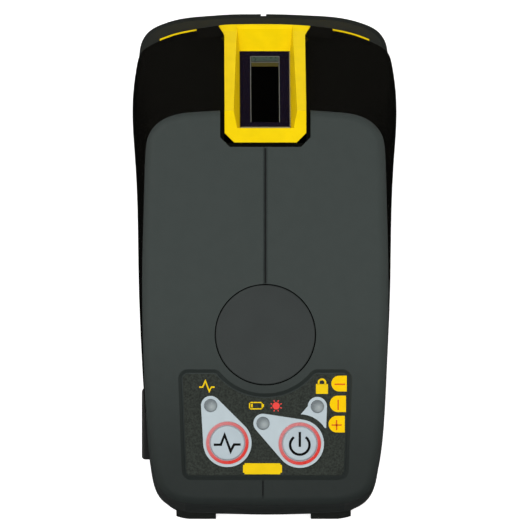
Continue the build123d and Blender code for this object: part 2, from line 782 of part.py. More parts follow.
def make_keypad_board():
    bottom = keypad_board_top - keypad_board_thick
    board = block(-keypad_half, keypad_half, keypad_rear, keypad_front, bottom, keypad_board_top)
    board = fillet(board.edges().filter_by(Axis.Z), 1.5)
    keep("keypad_board", board - [post(x, y, bottom - 1, top_z, screw_shank + fit) for x, y in keypad_screws])
    leds = [
        block(x - 0.8, x + 0.8, y - 0.4, y + 0.4, keypad_board_top, keypad_board_top + led_height)
        for x, y in (pulse_led, power_led, lock_led)
    ]
    keep("indicator_leds", Compound(children=leds))
    keep("keypad_screws", Compound(children=[
        post(x, y, bottom - screw_head_height, bottom, screw_head)
        + post(x, y, bottom, roof_bottom + 1, screw_shank)
        for x, y in keypad_screws
    ]))


# ---------------------------------------------------------------- main board and ribbon
def make_main_board():
    board = block(main_board_left, main_board_right, main_board_rear, main_board_front,
                  main_board_z, main_board_z + board_thick)
    board = board - [post(x, y, main_board_z - 1, 30, screw_shank + fit) for x, y in board_screws]
    keep("main_board", board)
    top = main_board_z + board_thick
    keep("board_screws", Compound(children=[
        post(x, y, top, top + screw_head_height, screw_head)
        + post(x, y, main_board_z - board_screw_length + 0.5, top, screw_shank)
        for x, y in board_screws
    ]))
    keep("board_chips", Compound(children=[
        block(x - size / 2, x + size / 2, y - size / 2, y + size / 2, top, top + chip_height)
        for x, y, size in board_chips
    ]))
    keep("capacitors", Compound(children=[
        post(x, y, top, top + capacitor_height, capacitor_radius) for x, y in capacitors
    ]))
    x, y = lock_switch_at
    keep("lock_switch", block(x - 2.9, x + 2.9, y - 6.4, y + 6.4, top, top + lock_switch_height))


def make_ribbon():
    half = ribbon_width / 2
    low = main_board_z + board_thick
    high = keypad_board_top - keypad_board_thick
    keep("ribbon_sockets", Compound(children=[
        block(-half - 1, half + 1, ribbon_y - 2, ribbon_y + 2, low, low + socket_height),
        block(-half - 1, half + 1, ribbon_y - 2, ribbon_y + 2, high - socket_height, high),
    ]))
    z0 = low + socket_height
    z1 = high - socket_height
    middle = (z0 + z1) / 2
    line = Spline((ribbon_y, z0), (ribbon_y + 3, middle), (ribbon_y, z1), tangents=[(0, 1), (0, 1)])
    strip = line + Pos(ribbon_thick, 0) * line
    strip += Line((ribbon_y, z0), (ribbon_y + ribbon_thick, z0)) + Line((ribbon_y, z1), (ribbon_y + ribbon_thick, z1))
    upright = Plane(origin=(-half, 0, 0), x_dir=(0, 1, 0), z_dir=(1, 0, 0))
    keep("keypad_ribbon", extrude(upright * make_face(strip), amount=ribbon_width))


# ---------------------------------------------------------------- battery bay and door
def make_cells():
    cells = []
    springs = []
    contacts = []
    body = cell_length - cell_nub_length
    rear = bay_rear + spring_room
    for index in (-1, 0, 1):
        x = index * cell_pitch
        turned = index == 0
        cell = rod_y(x, rear, rear + body, cell_z, cell_radius)
        cell = fillet(cell.edges(), 0.6) + rod_y(x, rear + body - 0.5, rear + cell_length, cell_z, cell_nub_radius)
        middle_y = rear + cell_length / 2
        flip = Pos(x, middle_y, 0) * Rot(0, 0, 180) * Pos(-x, -middle_y, 0)
        cells.append(flip * cell if turned else cell)
        spring_y = rear + cell_length if turned else bay_rear + contact_thick
        free = bay_front - contact_thick - spring_y if turned else rear - spring_y
        coil = Helix(free - spring_wire, free - spring_wire, spring_radius)
        wire = sweep(Plane(coil @ 0, z_dir=coil % 0) * Circle(spring_wire / 2), path=coil)
        springs.append(Pos(x, spring_y + spring_wire / 2, cell_z) * Rot(-90, 0, 0) * wire)
        for y in (bay_rear, bay_front - contact_thick):
            contacts.append(block(x - 6, x + 6, y, y + contact_thick, cell_z - 5, cell_z + 5))
    keep("battery_cells", Compound(children=cells))
    keep("battery_springs", Compound(children=springs))
    keep("battery_contacts", Compound(children=contacts))


def make_door():
    half = bay_half + door_ledge
    top = floor_z + door_thick
    front = hinge_y - knuckle_radius - gap
    door = block(-half, half, bay_rear - door_ledge, front, floor_z, top)
    door = fillet(door.edges().filter_by(Axis.Z), 0.8)
    solids = []
    for side in (-1, 1):
        x0, x1 = sorted((side * knuckle_inner, side * (lug_inner - gap)))
        solids.append(rod_x(x0, x1, hinge_y, hinge_z, knuckle_radius))
        solids.append(block(x0, x1, front - 1, hinge_y, hinge_z - 0.6, hinge_z + 0.6))
    door = door + solids
    door -= rod_x(-lug_outer, lug_outer, hinge_y, hinge_z, hinge_pin_radius + pin_fit)
    grip = [
        block(-grip_half, grip_half, y, y + 0.8, floor_z - 1, floor_z + 0.5)
        for y in (bay_rear + 4, bay_rear + 6, bay_rear + 8)
    ]
    keep("battery_door", door - grip)
    keep("door_pin", rod_x(-lug_outer, lug_outer, hinge_y, hinge_z, hinge_pin_radius))


def make_fasteners():
    insert = post(0, tripod_y, floor_z, tripod_top, tripod_outer)
    insert = chamfer(insert.edges().group_by(Axis.Z)[-1], 0.5)
    keep("tripod_insert", insert - post(0, tripod_y, floor_z - 1, tripod_top + 1, tripod_bore))
    screws = []
    for x, y in housing_screws:
        screw = post(x, y, head_seat - housing_head_height, head_seat, housing_head_radius)
        screw += post(x, y, head_seat, column_bottom + housing_screw_length - 1, housing_screw_radius)
        screws.append(screw - post(x, y, floor_z - 1, head_seat - 0.6, 0.8))
    keep("housing_screws", Compound(children=screws))
    label = block(-label_half, label_half, label_rear, label_front, floor_z - 0.15, floor_z)
    keep("rating_label", fillet(label.edges().filter_by(Axis.Z), 1.0))


# ---------------------------------------------------------------- gimbal
def make_bracket():
    arm_inner = bracket_half - bracket_thick
    base_top = bracket_base_z + bracket_thick
    rear = pivot_y - base_reach
    front = pivot_y + base_reach
    half_depth = bracket_depth / 2
    bracket = block(-bracket_half, bracket_half, rear, front, bracket_base_z, base_top)
    arms = []
    holes = [post(x, y, bracket_base_z - 1, base_top + 1, screw_shank + fit) for x, y in bracket_screws]
    for side in (-1, 1):
        x0, x1 = sorted((side * arm_inner, side * bracket_half))
        arms.append(block(x0, x1, pivot_y - half_depth, pivot_y + half_depth, bracket_base_z, pivot_z))
        arms.append(rod_x(x0, x1, pivot_y, pivot_z, half_depth))
        holes.append(rod_x(x0 - 1, x1 + 1, pivot_y, pivot_z, bearing_outer))
    keep("gimbal_bracket", bracket + arms - holes)
    keep("bracket_screws", Compound(children=[
        post(x, y, base_top, base_top + screw_head_height, screw_head)
        + post(x, y, bracket_base_z - bracket_screw_length + 0.5, base_top, screw_shank)
        for x, y in bracket_screws
    ]))
    keep("pitch_bearings", Compound(children=[
        rod_x(x0, x0 + bracket_thick, pivot_y, pivot_z, bearing_outer)
        - rod_x(x0 - 1, x0 + bracket_thick + 1, pivot_y, pivot_z, pivot_radius + pin_fit)
        for x0 in (-bracket_half, arm_inner)
    ]))
    magnets = [
        post(x, pivot_y + y, base_top, base_top + magnet_height, magnet_radius)
        for x in (-magnet_radius - 0.5, magnet_radius + 0.5) for y in (-magnet_radius - 0.5, magnet_radius + 0.5)
    ]
    keep("damper_magnets", Compound(children=magnets))


def make_gimbal_ring():
    z0 = pivot_z - ring_height / 2
    z1 = pivot_z + ring_height / 2
    ring = block(-ring_half_x, ring_half_x, pivot_y - ring_half_y, pivot_y + ring_half_y, z0, z1)
    ring = fillet(ring.edges().filter_by(Axis.Z), 2.0)
    inner_x = ring_half_x - ring_bar
    inner_y = ring_half_y - ring_bar
    ring -= block(-inner_x, inner_x, pivot_y - inner_y, pivot_y + inner_y, z0 - 1, z1 + 1)
    pin_half = bracket_half - 0.4
    ring -= [
        rod_x(-pin_half, pin_half, pivot_y, pivot_z, pivot_radius),
        rod_y(0, pivot_y - ring_half_y - 1, pivot_y + ring_half_y + 1, pivot_z, bearing_outer),
    ]
    keep("gimbal_ring", ring)
    keep("pitch_pins", Compound(children=[
        rod_x(inner_x, pin_half, pivot_y, pivot_z, pivot_radius),
        rod_x(-pin_half, -inner_x, pivot_y, pivot_z, pivot_radius),
    ]))
    keep("roll_bearings", Compound(children=[
        rod_y(0, y0, y0 + ring_bar, pivot_z, bearing_outer)
        - rod_y(0, y0 - 1, y0 + ring_bar + 1, pivot_z, pivot_radius + pin_fit)
        for y0 in (pivot_y - ring_half_y, pivot_y + inner_y)
    ]))
    pin_y = ring_half_y - 0.4
    keep("roll_pins", Compound(children=[
        rod_y(0, pivot_y - pin_y, pivot_y - hub_depth + 2, pivot_z, pivot_radius),
        rod_y(0, pivot_y + hub_depth - 2, pivot_y + pin_y, pivot_z, pivot_radius),
    ]))


# ---------------------------------------------------------------- pendulum
def make_pendulum():
    half_hub = ring_height / 2
    body = block(-carriage_half, carriage_half, carriage_rear, carriage_front, carriage_bottom, carriage_top)
    body = chamfer(body.edges().filter_by(Axis.Y), 0.8)
    weight = block(-weight_half, weight_half, pivot_y - weight_depth, pivot_y + weight_depth,
                   weight_bottom, weight_top)
    weight = fillet(weight.edges().filter_by(Axis.Z), 2.0)
    body = body + [
        weight,
        block(-hub_half, hub_half, pivot_y - hub_depth, pivot_y + hub_depth,
              pivot_z - half_hub, carriage_bottom),
        block(-hub_half, hub_half, pivot_y - hub_half, pivot_y + hub_half, weight_top, carriage_bottom),
    ]
    holes = [rod_y(side * laser_x, carriage_rear - 1, carriage_front + 1, laser_z, laser_radius) for side in (-1, 1)]
    holes += [
        rod_y(0, pivot_y - hub_depth - 1, pivot_y - hub_depth + 2, pivot_z, pivot_radius),
        rod_y(0, pivot_y + hub_depth - 2, pivot_y + hub_depth + 1, pivot_z, pivot_radius),
        rod_y(0, pivot_y + weight_depth - trim_depth, pivot_y + weight_depth + 1, trim_z, trim_radius),
        rod_x(weight_half - trim_depth, weight_half + 1, pivot_y, trim_z, trim_radius),
    ]
    keep("pendulum_body", body - holes)
    keep("trim_screws", Compound(children=[
        rod_y(0, pivot_y + weight_depth - trim_depth, pivot_y + weight_depth + 1, trim_z, trim_radius),
        rod_x(weight_half - trim_depth, weight_half + 1, pivot_y, trim_z, trim_radius),
    ]))
    keep("damping_plate", block(-damper_half, damper_half, pivot_y - damper_half, pivot_y + damper_half,
                                weight_bottom - damper_thick, weight_bottom))
    cap_front = laser_front + rod_radius * 2 + 0.6
    for name, side in (("horizontal", -1), ("vertical", 1)):
        x = side * laser_x
        tube = rod_y(x, laser_rear, cap_front, laser_z, laser_radius)
        tube -= rod_y(x, laser_front - 2, cap_front + 1, laser_z, laser_radius - 0.9)
        rod_y_centre = laser_front + rod_radius
        if side < 0:
            rod = post(x, rod_y_centre, laser_z - rod_length / 2, laser_z + rod_length / 2, rod_radius)
        else:
            rod = rod_x(x - rod_length / 2, x + rod_length / 2, rod_y_centre, laser_z, rod_radius)
        keep(name + "_laser", tube)
        keep(name + "_line_rod", rod)
    keep("laser_driver_board", block(-carriage_half, carriage_half, laser_rear - board_thick, laser_rear,
                                     carriage_bottom + 1, carriage_top))


# ---------------------------------------------------------------- pendulum lock
def make_lock():
    thumb_inner = thumb_face - thumb_thick
    thumb = block(-thumb_face, -thumb_inner, thumb_rear, thumb_front,
                  thumb_z - thumb_height / 2, thumb_z + thumb_height / 2)
    thumb = fillet(thumb.edges().group_by(Axis.X)[0], 0.8)
    ribs = [
        block(-thumb_face - 1, -thumb_face + 0.4, thumb_y + offset - 0.5, thumb_y + offset + 0.5,
              thumb_z - thumb_height / 2 + 1.5, thumb_z + thumb_height / 2 - 1.5)
        for offset in (-6, -3, 0, 3, 6)
    ]
    thumb = thumb - ribs + block(-thumb_inner, lock_bar_outer, thumb_y - lock_neck / 2, thumb_y + lock_neck / 2,
                                 thumb_z - lock_neck_height / 2, thumb_z + lock_neck_height / 2)
    keep("lock_thumb", thumb)
    half = lock_bar_height / 2
    slider = block(lock_bar_outer, lock_bar_x, lock_bar_rear, lock_arm_y, thumb_z - half, thumb_z + half)
    slider += block(lock_bar_outer, lock_arm_end, lock_arm_y - lock_bar_thick, lock_arm_y,
                    thumb_z - half, thumb_z + half)
    keep("lock_slider", slider)
    keep("lock_pad", block(-lock_arm_end, lock_arm_end, lock_arm_y, lock_arm_y + pad_thick,
                           thumb_z - half, thumb_z + half))
    z0 = thumb_z + half + spring_rise
    low = thumb_z + half + gap
    leaf = [
        (spring_rear, z0), (spring_rear + spring_foot, z0), (spring_rear + spring_foot + 3, low + 1.2),
        (spring_rear + spring_foot + 6, low + 0.4), (spring_rear + spring_foot + 8, low + 0.4),
        (spring_rear + spring_foot + 11, low + 1.6),
    ]
    upper = [(y, z - spring_leaf) for y, z in reversed(leaf)]
    keep("lock_spring", side_prism(leaf + upper, lock_bar_outer + 0.2, lock_bar_x - 0.2))


# ---------------------------------------------------------------- build and export
make_base_bumper()
make_lower_housing()
make_housing_gasket()
make_upper_housing()
make_top_overmould()
make_top_plug()
make_nose_frame()
make_window()
make_keypad_overlay()
make_surrounds()
make_keys()
make_lenses()
make_keypad_board()
make_main_board()
make_ribbon()
make_cells()
make_door()
make_fasteners()
make_bracket()
make_gimbal_ring()
make_pendulum()
make_lock()

os.makedirs("parts", exist_ok=True)
for name, shape in parts.items():
    export_step(shape, os.path.join("parts", name + ".step"))
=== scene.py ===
"""Looks for a self-levelling cross-line laser level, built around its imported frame. Lengths are in metres."""
import math

import bmesh
import bpy
from mathutils import Matrix, Vector


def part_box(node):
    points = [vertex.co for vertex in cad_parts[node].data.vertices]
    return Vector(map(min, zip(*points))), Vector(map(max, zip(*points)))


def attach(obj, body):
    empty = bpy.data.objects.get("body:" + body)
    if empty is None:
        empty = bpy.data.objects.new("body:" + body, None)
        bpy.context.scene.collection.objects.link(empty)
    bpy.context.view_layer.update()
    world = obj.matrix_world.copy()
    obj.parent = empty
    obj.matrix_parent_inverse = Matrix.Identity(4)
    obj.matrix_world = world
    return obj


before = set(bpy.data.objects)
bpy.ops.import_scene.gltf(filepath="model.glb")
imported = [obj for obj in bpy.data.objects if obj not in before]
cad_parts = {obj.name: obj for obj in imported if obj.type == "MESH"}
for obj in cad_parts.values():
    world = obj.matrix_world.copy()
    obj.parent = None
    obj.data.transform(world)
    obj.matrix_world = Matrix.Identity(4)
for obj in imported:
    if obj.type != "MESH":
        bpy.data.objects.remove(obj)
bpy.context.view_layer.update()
MM = 0.001

# ------------------------------------------------------------------ places taken from the frame
overlay_low, overlay_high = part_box("keypad_overlay")
OVERLAY_Z = overlay_high.z
pulse_low, pulse_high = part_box("pulse_button")
power_low, power_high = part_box("power_button")
PULSE = (pulse_low + pulse_high) / 2
POWER = (power_low + power_high) / 2
CAP_Z = pulse_high.z
TOP_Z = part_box("top_overmould")[1].z
PRINT_THICK = 0.06 * MM         # printed symbols stand out by a coat of ink
SINK = 0.02 * MM                # and are bedded this far into what carries them


# ------------------------------------------------------------------ camera
def look(location, target, up):
    """Matrix of a camera at a place, facing a target."""
    forward = (target - location).normalized()
    right = forward.cross(up).normalized()
    upward = right.cross(forward)
    matrix = Matrix((right, upward, -forward)).transposed().to_4x4()
    matrix.translation = location
    return matrix


def make_camera():
    """Straight above the level, with the front at the top of the picture."""
    distance = 2.5
    field = 132.5 * MM
    data = bpy.data.cameras.new("camera")
    data.sensor_width = 36.0
    data.lens = data.sensor_width * distance / field
    data.clip_end = 10.0
    camera = bpy.data.objects.new("camera", data)
    bpy.context.scene.collection.objects.link(camera)
    aim = Vector((-0.1 * MM, 0.375 * MM, TOP_Z))
    camera.matrix_world = look(Vector((-17.4 * MM, 0.0, TOP_Z + distance)), aim, Vector((0, 1, 0)))
    bpy.context.scene.camera = camera


# ------------------------------------------------------------------ material nodes
class Maker:
    """A material with a Principled shader, and short calls for its other nodes."""

    def __init__(self, name, colour, roughness, metallic=0.0, specular=0.5, coat=0.0, alpha=1.0):
        self.material = bpy.data.materials.new(name)
        self.material.use_nodes = True
        self.tree = self.material.node_tree
        self.shader = self.tree.nodes["Principled BSDF"]
        self.set("Base Color", (*colour, 1.0))
        self.set("Roughness", roughness)
        self.set("Metallic", metallic)
        self.set("Specular IOR Level", specular)
        self.set("Coat Weight", coat)
        self.set("Alpha", alpha)
        self.roughness = roughness
        self.colour = colour
        self.place = self.add("ShaderNodeTexCoord").outputs["Object"]

    def set(self, socket, value):
        self.shader.inputs[socket].default_value = value

    def add(self, kind, **values):
        node = self.tree.nodes.new(kind)
        for key, value in values.items():
            setattr(node, key, value)
        return node

    def link(self, source, target):
        self.tree.links.new(source, target)

    def noise(self, size, detail=3.0, stretch=(1, 1, 1)):
        """Noise whose features are about this size, in metres."""
        place = self.place
        if stretch != (1, 1, 1):
            mapping = self.add("ShaderNodeMapping")
            mapping.inputs["Scale"].default_value = stretch
            self.link(place, mapping.inputs["Vector"])
            place = mapping.outputs["Vector"]
        node = self.add("ShaderNodeTexNoise")
        node.inputs["Scale"].default_value = 1.0 / size
        node.inputs["Detail"].default_value = detail
        self.link(place, node.inputs["Vector"])
        return node.outputs["Fac"]

    def cells(self, size):
        """Rounded grain of about this size, in metres."""
        node = self.add("ShaderNodeTexVoronoi", feature="SMOOTH_F1")
        node.inputs["Scale"].default_value = 1.0 / size
        self.link(self.place, node.inputs["Vector"])
        return node.outputs["Distance"]

    def spread(self, factor, low, high):
        node = self.add("ShaderNodeMapRange")
        node.inputs["From Min"].default_value = 0.3
        node.inputs["From Max"].default_value = 0.7
        node.inputs["To Min"].default_value = low
        node.inputs["To Max"].default_value = high
        self.link(factor, node.inputs["Value"])
        return node.outputs["Result"]

    def vary_roughness(self, factor, amount):
        spread = self.spread(factor, self.roughness - amount, self.roughness + amount)
        self.link(spread, self.shader.inputs["Roughness"])

    def blend_colours(self, factor, first, second):
        """Base colour that goes from one colour to another as a factor goes from 0 to 1."""
        mix = self.add("ShaderNodeMix", data_type="RGBA")
        mix.inputs["A"].default_value = (*first, 1.0)
        mix.inputs["B"].default_value = (*second, 1.0)
        self.link(factor, mix.inputs["Factor"])
        self.link(mix.outputs["Result"], self.shader.inputs["Base Color"])

    def vary_colour(self, factor, amount):
        """Lighten and darken the base colour by a share of itself."""
        dark = [c * (1 - amount) for c in self.colour]
        light = [min(1.0, c * (1 + amount)) for c in self.colour]
        self.blend_colours(self.spread(factor, 0.0, 1.0), dark, light)

    def fade_along_y(self, start, end):
        """Smooth step from 0 to 1 between two places along the level."""
        split = self.add("ShaderNodeSeparateXYZ")
        self.link(self.place, split.inputs["Vector"])
        fade = self.add("ShaderNodeMapRange", interpolation_type="SMOOTHSTEP")
        fade.inputs["From Min"].default_value = start
        fade.inputs["From Max"].default_value = end
        self.link(split.outputs["Y"], fade.inputs["Value"])
        return fade.outputs["Result"]

    def bump(self, height, depth, strength=1.0):
        node = self.add("ShaderNodeBump")
        node.inputs["Distance"].default_value = depth
        node.inputs["Strength"].default_value = strength
        self.link(height, node.inputs["Height"])
        self.link(node.outputs["Normal"], self.shader.inputs["Normal"])


def rubber(name, colour, roughness=0.6, specular=0.35):
    """Moulded rubber with a fine spark-eroded grain."""
    maker = Maker(name, colour, roughness, specular=specular)
    maker.vary_colour(maker.noise(6 * MM), 0.06)
    maker.vary_roughness(maker.noise(3 * MM), 0.05)
    maker.bump(maker.cells(0.35 * MM), 0.03 * MM, 0.5)
    return maker.material


def plateau_rubber(name, colour, rear_shade):
    """Rubber with painted shade that darkens it towards the rear, standing in for the fall-off where the real
    top curves down.
    """
    maker = Maker(name, colour, 0.62, specular=0.3)
    maker.blend_colours(maker.fade_along_y(-58 * MM, -8 * MM), [c * rear_shade for c in colour], colour)
    maker.vary_roughness(maker.noise(3 * MM), 0.05)
    maker.bump(maker.cells(0.35 * MM), 0.03 * MM, 0.5)
    return maker.material


def gloss(name, colour, roughness=0.12, specular=0.5, coat=0.0):
    """Polished moulded plastic, with faint waviness and handling marks in the gloss."""
    maker = Maker(name, colour, roughness, specular=specular, coat=coat)
    maker.vary_colour(maker.noise(8 * MM), 0.04)
    maker.vary_roughness(maker.noise(1.5 * MM, 5.0), 0.04)
    maker.bump(maker.noise(5 * MM, 1.0), 0.01 * MM, 0.4)
    return maker.material


def satin(name, colour, roughness=0.4, specular=0.5, metallic=0.0, grain=0.25):
    """Fine-textured moulded plastic."""
    maker = Maker(name, colour, roughness, specular=specular, metallic=metallic)
    maker.vary_colour(maker.noise(4 * MM), 0.04)
    maker.vary_roughness(maker.noise(1 * MM), 0.05)
    maker.bump(maker.noise(grain * MM, 2.0), 0.012 * MM, 0.6)
    return maker.material


def metal(name, colour, roughness=0.3, stretch=(1, 1, 1)):
    """Machined or drawn metal with a directional finish."""
    maker = Maker(name, colour, roughness, metallic=1.0)
    maker.vary_colour(maker.noise(3 * MM), 0.08)
    maker.vary_roughness(maker.noise(0.6 * MM, 4.0, stretch), 0.08)
    maker.bump(maker.noise(0.3 * MM, 3.0, stretch), 0.01 * MM, 0.5)
    return maker.material


def board(name, colour):
    """Solder mask with copper tracks showing faintly through it."""
    maker = Maker(name, colour, 0.35)
    maker.vary_colour(maker.noise(1.2 * MM, 0.0, (1, 6, 1)), 0.25)
    maker.vary_roughness(maker.noise(1 * MM), 0.06)
    maker.bump(maker.noise(1.2 * MM, 0.0, (1, 6, 1)), 0.02 * MM, 0.5)
    return maker.material


def coated_glass(name, colour, alpha, roughness=0.04):
    maker = Maker(name, colour, roughness, specular=0.6, alpha=alpha)
    maker.vary_roughness(maker.noise(4 * MM), 0.02)
    maker.vary_colour(maker.noise(9 * MM), 0.15)
    return maker.material


def housing_black(name, colour, rear_colour):
    """Gloss black housing whose rear end is grained dark grey, like the rubber beside it: the rubber's own
    grey, darkened by the same painted shade as the rear of the top.
    """
    maker = Maker(name, colour, 0.14)
    fade = maker.fade_along_y(-30 * MM, -50 * MM)
    maker.blend_colours(fade, colour, rear_colour)
    dull = maker.add("ShaderNodeMath", operation="MULTIPLY_ADD")
    maker.link(fade, dull.inputs[0])
    dull.inputs[1].default_value = 0.45
    maker.link(maker.spread(maker.noise(1.5 * MM, 5.0), 0.1, 0.18), dull.inputs[2])
    maker.link(dull.outputs["Value"], maker.shader.inputs["Roughness"])
    maker.bump(maker.noise(5 * MM, 1.0), 0.01 * MM, 0.4)
    return maker.material


def embossed_film(name, colour):
    """Keypad film with a coarse embossed grain, and a painted highlight that makes it paler on its crests."""
    maker = Maker(name, colour, 0.55, specular=0.25)
    maker.vary_colour(maker.noise(0.45 * MM, 2.0), 0.45)
    maker.vary_roughness(maker.noise(1 * MM), 0.06)
    maker.bump(maker.noise(0.45 * MM, 2.0), 0.05 * MM, 0.8)
    return maker.material


def dome_lens(name, colour, light, centres):
    """Diffusing lenses with a painted highlight: each dome is paler around a spot just off its middle towards
    the right rear, standing in for the dome's shading.
    """
    maker = Maker(name, colour, 0.25, specular=0.5, coat=0.3)
    painted_highlight_mask = None
    for centre in centres:
        shift = maker.add("ShaderNodeVectorMath", operation="DISTANCE")
        shift.inputs[1].default_value = (centre.x + 0.35 * MM, centre.y - 0.35 * MM, centre.z)
        maker.link(maker.place, shift.inputs[0])
        reach = maker.add("ShaderNodeMapRange", interpolation_type="SMOOTHSTEP")
        reach.inputs["From Min"].default_value = 0.5 * MM
        reach.inputs["From Max"].default_value = 1.9 * MM
        reach.inputs["To Min"].default_value = 1.0
        reach.inputs["To Max"].default_value = 0.0
        maker.link(shift.outputs["Value"], reach.inputs["Value"])
        if painted_highlight_mask is None:
            painted_highlight_mask = reach.outputs["Result"]
        else:
            total = maker.add("ShaderNodeMath", operation="ADD")
            maker.link(painted_highlight_mask, total.inputs[0])
            maker.link(reach.outputs["Result"], total.inputs[1])
            painted_highlight_mask = total.outputs["Value"]
    # The second colour is the painted highlight.
    maker.blend_colours(painted_highlight_mask, colour, light)
    maker.vary_roughness(maker.noise(0.6 * MM), 0.04)
    return maker.material


def lens_centres():
    """Middle of each lens, found from the lenses' own corners."""
    groups = []
    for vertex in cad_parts["led_lenses"].data.vertices:
        spot = Vector((vertex.co.x, vertex.co.y, OVERLAY_Z))
        group = next((found for found in groups if (found[0] - spot).length < 4.5 * MM), None)
        if group:
            group.append(spot)
        else:
            groups.append([spot])
    middles = []
    for group in groups:
        xs = [spot.x for spot in group]
        ys = [spot.y for spot in group]
        middles.append(Vector(((min(xs) + max(xs)) / 2, (min(ys) + max(ys)) / 2, OVERLAY_Z)))
    return middles


def ring_with_painted_highlight(name, colour, light, centre):
    """Translucent red ring with a painted highlight: paler towards its front left side, standing in for how
    light falls on it.
    """
    maker = Maker(name, colour, 0.25, specular=0.5, coat=0.2)
    span = maker.add("ShaderNodeMapping")
    span.vector_type = "POINT"
    span.inputs["Location"].default_value = (-centre.x, -centre.y, 0)
    maker.link(maker.place, span.inputs["Vector"])
    dot = maker.add("ShaderNodeVectorMath", operation="DOT_PRODUCT")
    dot.inputs[1].default_value = (-0.6, 0.8, 0)
    maker.link(span.outputs["Vector"], dot.inputs[0])
    reach = maker.add("ShaderNodeMapRange")
    reach.inputs["From Min"].default_value = -4 * MM
    reach.inputs["From Max"].default_value = 6 * MM
    maker.link(dot.outputs["Value"], reach.inputs["Value"])
    # The second colour is the painted highlight.
    maker.blend_colours(reach.outputs["Result"], colour, light)
    maker.vary_roughness(maker.noise(1 * MM), 0.05)
    return maker.material


def make_materials():
    """One material for each group of nodes."""
    steel = metal("steel", (0.56, 0.56, 0.58), 0.28)
    turned_brass = metal("turned_brass", (0.72, 0.5, 0.2), 0.25, (1, 8, 1))
    black_part = satin("black_part", (0.018, 0.018, 0.02), 0.5)
    green_board = board("green_board", (0.02, 0.13, 0.05))
    alloy = metal("die_cast_alloy", (0.55, 0.56, 0.58), 0.42)
    silver = satin("silver_plastic", (0.49, 0.57, 0.61), 0.42, specular=0.3, grain=0.15)
    key = satin("silver_key", (0.46, 0.54, 0.585), 0.38, specular=0.3, grain=0.12)
    gloss_black = gloss("gloss_black", (0.0055, 0.0052, 0.0042), 0.14)
    clear_rod = coated_glass("clear_rod", (0.75, 0.85, 0.85), 0.35)
    red = (0.70, 0.03, 0.02)
    # Paler red of the painted highlight on the two rings.
    ring_painted_highlight_red = (0.62, 0.22, 0.23)
    return {
        # The last number is how far the painted shade darkens the rear of the top.
        "top_overmould": plateau_rubber("grey_rubber", (0.041, 0.051, 0.048), 0.5),
        "top_plug": rubber("plug_rubber", (0.034, 0.040, 0.039)),
        "base_bumper": rubber("bumper_rubber", (0.016, 0.0185, 0.0165)),
        # The rear colour is the rubber's grey with painted shade at the rear.
        "upper_housing": housing_black("upper_black", (0.0055, 0.0052, 0.0042), (0.022, 0.025, 0.024)),
        "lower_housing": gloss_black,
        "battery_door": satin("door_black", (0.012, 0.012, 0.012), 0.45),
        "housing_gasket": rubber("gasket_rubber", (0.012, 0.012, 0.012)),
        "nose_frame": satin("yellow_plastic", (0.92, 0.655, 0.0015), 0.5, specular=0.06, grain=0.4),
        "window_glass": coated_glass("coated_glass", (0.011, 0.008, 0.018), 0.85),
        "window_seal": rubber("seal_rubber", (0.01, 0.01, 0.01)),
        "window_baffle": satin("baffle_black", (0.012, 0.012, 0.012), 0.55),
        "keypad_overlay": embossed_film("overlay_black", (0.024, 0.029, 0.024)),
        "pulse_surround": silver, "power_surround": silver, "lock_surround": silver,
        "pulse_button": key, "power_button": key,
        "pulse_ring": ring_with_painted_highlight("pulse_ring_red", red, ring_painted_highlight_red, PULSE),
        "power_ring": ring_with_painted_highlight("power_ring_red", red, ring_painted_highlight_red, POWER),
        # The lenses' second colour is their painted highlight.
        "led_lenses": dome_lens("diffusing_lens", (0.17, 0.20, 0.215), (0.40, 0.45, 0.46), lens_centres()),
        "keypad_board": green_board, "main_board": green_board, "laser_driver_board": green_board,
        "key_switches": black_part, "pulse_plunger": black_part, "power_plunger": black_part,
        "indicator_leds": satin("led_body", (0.7, 0.68, 0.5), 0.3),
        "keypad_screws": steel, "board_screws": steel, "bracket_screws": steel, "housing_screws": steel,
        "board_chips": black_part, "capacitors": black_part, "lock_switch": black_part,
        "ribbon_sockets": black_part, "keypad_ribbon": satin("film", (0.7, 0.7, 0.66), 0.35),
        "battery_cells": gloss("cell_jacket", (0.03, 0.05, 0.09), 0.3),
        "battery_springs": steel, "battery_contacts": steel, "door_pin": steel,
        "tripod_insert": turned_brass, "rating_label": satin("label_film", (0.42, 0.43, 0.42), 0.4),
        "gimbal_bracket": alloy, "gimbal_ring": alloy, "pendulum_body": alloy,
        "pitch_bearings": steel, "roll_bearings": steel, "pitch_pins": steel, "roll_pins": steel,
        "damper_magnets": metal("nickel", (0.7, 0.69, 0.66), 0.15),
        "damping_plate": metal("rolled_copper", (0.75, 0.36, 0.2), 0.3, (1, 10, 1)),
        "trim_screws": turned_brass, "horizontal_laser": turned_brass, "vertical_laser": turned_brass,
        "horizontal_line_rod": clear_rod, "vertical_line_rod": clear_rod,
        "lock_thumb": satin("thumb_black", (0.014, 0.014, 0.014), 0.42), "lock_slider": black_part,
        "lock_pad": rubber("pad_rubber", (0.012, 0.012, 0.012)), "lock_spring": steel,
    }


def paint_nodes():
    materials = make_materials()
    for name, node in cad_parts.items():
        node.data.materials.clear()
        node.data.materials.append(materials[name])


# ------------------------------------------------------------------ printed symbols
def slab(name, loops, z, material, body, thick=PRINT_THICK, plane=None):
    """Thin raised print: closed loops of points in millimetres, on a level or another plane."""
    mesh = bmesh.new()
    for loop in loops:
        ring = [mesh.verts.new((x * MM, y * MM, z - SINK)) for x, y in loop]
        face = mesh.faces.new(ring)
        face.normal_update()
        if face.normal.z < 0:
            face.normal_flip()
        raised = bmesh.ops.extrude_face_region(mesh, geom=[face])["geom"]
        for vert in raised:
            if isinstance(vert, bmesh.types.BMVert):
                vert.co.z += thick + SINK
    bmesh.ops.recalc_face_normals(mesh, faces=mesh.faces)
    if plane:
        mesh.transform(plane)
    data = bpy.data.meshes.new(name)
    mesh.to_mesh(data)
    mesh.free()
    data.materials.append(material)
    piece = bpy.data.objects.new(name, data)
    bpy.context.scene.collection.objects.link(piece)
    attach(piece, body)
    return piece


